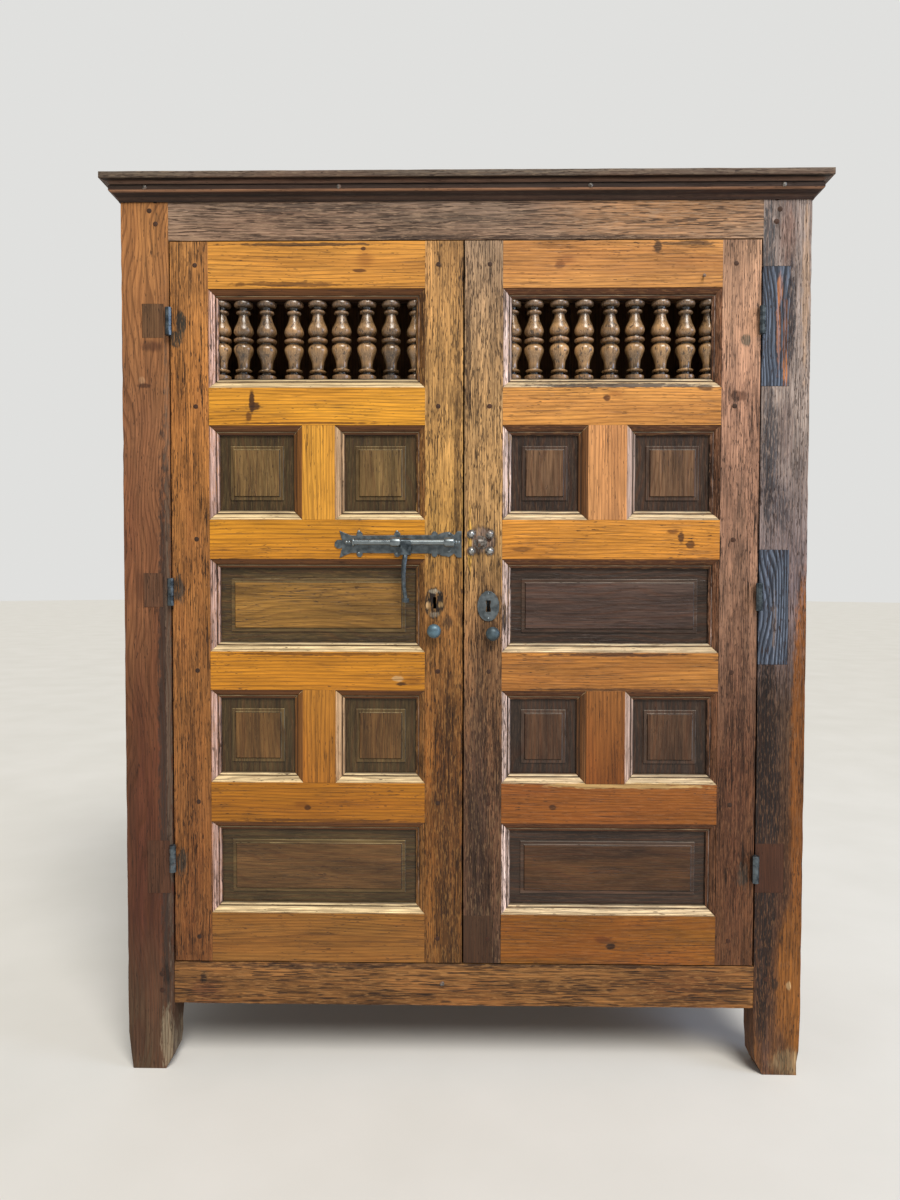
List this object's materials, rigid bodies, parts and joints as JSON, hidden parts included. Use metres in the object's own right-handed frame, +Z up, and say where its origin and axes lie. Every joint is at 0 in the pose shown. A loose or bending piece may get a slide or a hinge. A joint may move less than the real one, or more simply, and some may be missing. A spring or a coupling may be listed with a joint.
{
  "type": "two-door cupboard",
  "caption": "Old pine storage cupboard: two fielded-panel doors with turned grilles above, iron slide bolt with drop handle, rim lock, board shelves inside, moulded cornice.",
  "frame": {"origin": "on the floor, below the middle of the cornice's plan", "axes": "+Z up; the doors face -Y; +X to the right of someone who looks at them"},
  "size_m": [1.36, 0.53, 1.711],
  "materials": {
    "post_wood": "old pine stained reddish brown, worn dark inner edge",
    "front_rail_wood": "weathered grey-brown pine, rough and splintered",
    "case_wood": "plain brown pine boards",
    "repair_wood": "darker stained repair blocks",
    "cornice_wood": "dark reddish brown moulding",
    "top_wood": "greyish tan board edge",
    "peg_wood": "dark peg end grain",
    "stile_wood": "weathered brown-orange pine with dense dark flecks",
    "rail_wood": "honey-orange pine with knots and fine dark cracks",
    "muntin_wood": "brown-orange pine with vertical flecks",
    "panel_wood": "dark walnut brown, semi-gloss",
    "turned_wood": "glossy tan-brown turned wood",
    "iron": "dark blue-grey forged iron",
    "rusty_iron": "rusty pitted iron",
    "knob_iron": "matt blue-grey iron"
  },
  "bodies": {
    "case": {"front_post_left": "post_wood", "front_post_right": "post_wood", "rear_posts": "case_wood", "front_bottom_rail": "front_rail_wood", "front_top_rail": "front_rail_wood", "side_rails": "case_wood", "back_rails": "case_wood", "frame_pegs": "peg_wood", "post_patches": "repair_wood", "side_boards": "case_wood", "back_boards": "case_wood", "floor_boards": "case_wood", "shelf_boards": "case_wood", "shelf_cleats": "case_wood", "top_boards": "top_wood", "cornice_front": "cornice_wood", "cornice_sides": "cornice_wood", "cornice_nails": "rusty_iron", "hinge_post_leaves": "iron", "hinge_pins": "iron"},
    "left_door": {"left_hinge_stile": "stile_wood", "left_meeting_stile": "stile_wood", "left_foot_rail": "rail_wood", "left_lower_rail": "rail_wood", "left_middle_rail": "rail_wood", "left_bolt_rail": "rail_wood", "left_grille_rail": "rail_wood", "left_top_rail": "rail_wood", "left_muntins": "muntin_wood", "left_panels": "panel_wood", "left_balusters": "turned_wood", "left_door_pegs": "peg_wood", "left_hinge_leaves": "iron", "left_knob": "knob_iron", "bolt_plate": "iron", "bolt_staples": "iron", "lock_keeper": "iron"},
    "right_door": {"right_hinge_stile": "stile_wood", "right_meeting_stile": "stile_wood", "right_foot_rail": "rail_wood", "right_lower_rail": "rail_wood", "right_middle_rail": "rail_wood", "right_bolt_rail": "rail_wood", "right_grille_rail": "rail_wood", "right_top_rail": "rail_wood", "right_muntins": "muntin_wood", "right_panels": "panel_wood", "right_balusters": "turned_wood", "right_door_pegs": "peg_wood", "right_hinge_leaves": "iron", "right_knob": "knob_iron", "right_stile_patch": "repair_wood", "bolt_keeper": "rusty_iron", "keeper_nails": "rusty_iron", "escutcheon": "iron", "lock_case": "iron"},
    "bolt": {"bolt_rod": "iron"},
    "bolt_handle": {"bolt_handle": "iron"},
    "lock_bolt": {"lock_bolt": "iron"}
  },
  "joints": [
    {"name": "left_door_hinge", "type": "hinge", "parent": "case", "child": "left_door", "pos_m": [-0.5585, -0.242, 0.93], "axis": [0, 0, -1], "range_deg": [0, 170]},
    {"name": "right_door_hinge", "type": "hinge", "parent": "case", "child": "right_door", "pos_m": [0.5585, -0.242, 0.923], "axis": [0, 0, 1], "range_deg": [0, 170]},
    {"name": "bolt_slide", "type": "slide", "parent": "left_door", "child": "bolt", "axis": [1, 0, 0], "range_m": [0, 0.055]},
    {"name": "handle_turn", "type": "hinge", "parent": "bolt", "child": "bolt_handle", "pos_m": [-0.109, -0.246, 1.025], "axis": [-1, 0, 0], "range_deg": [0, 120]},
    {"name": "lock_slide", "type": "slide", "parent": "right_door", "child": "lock_bolt", "axis": [-1, 0, 0], "range_m": [0, 0.018]}
  ]
}
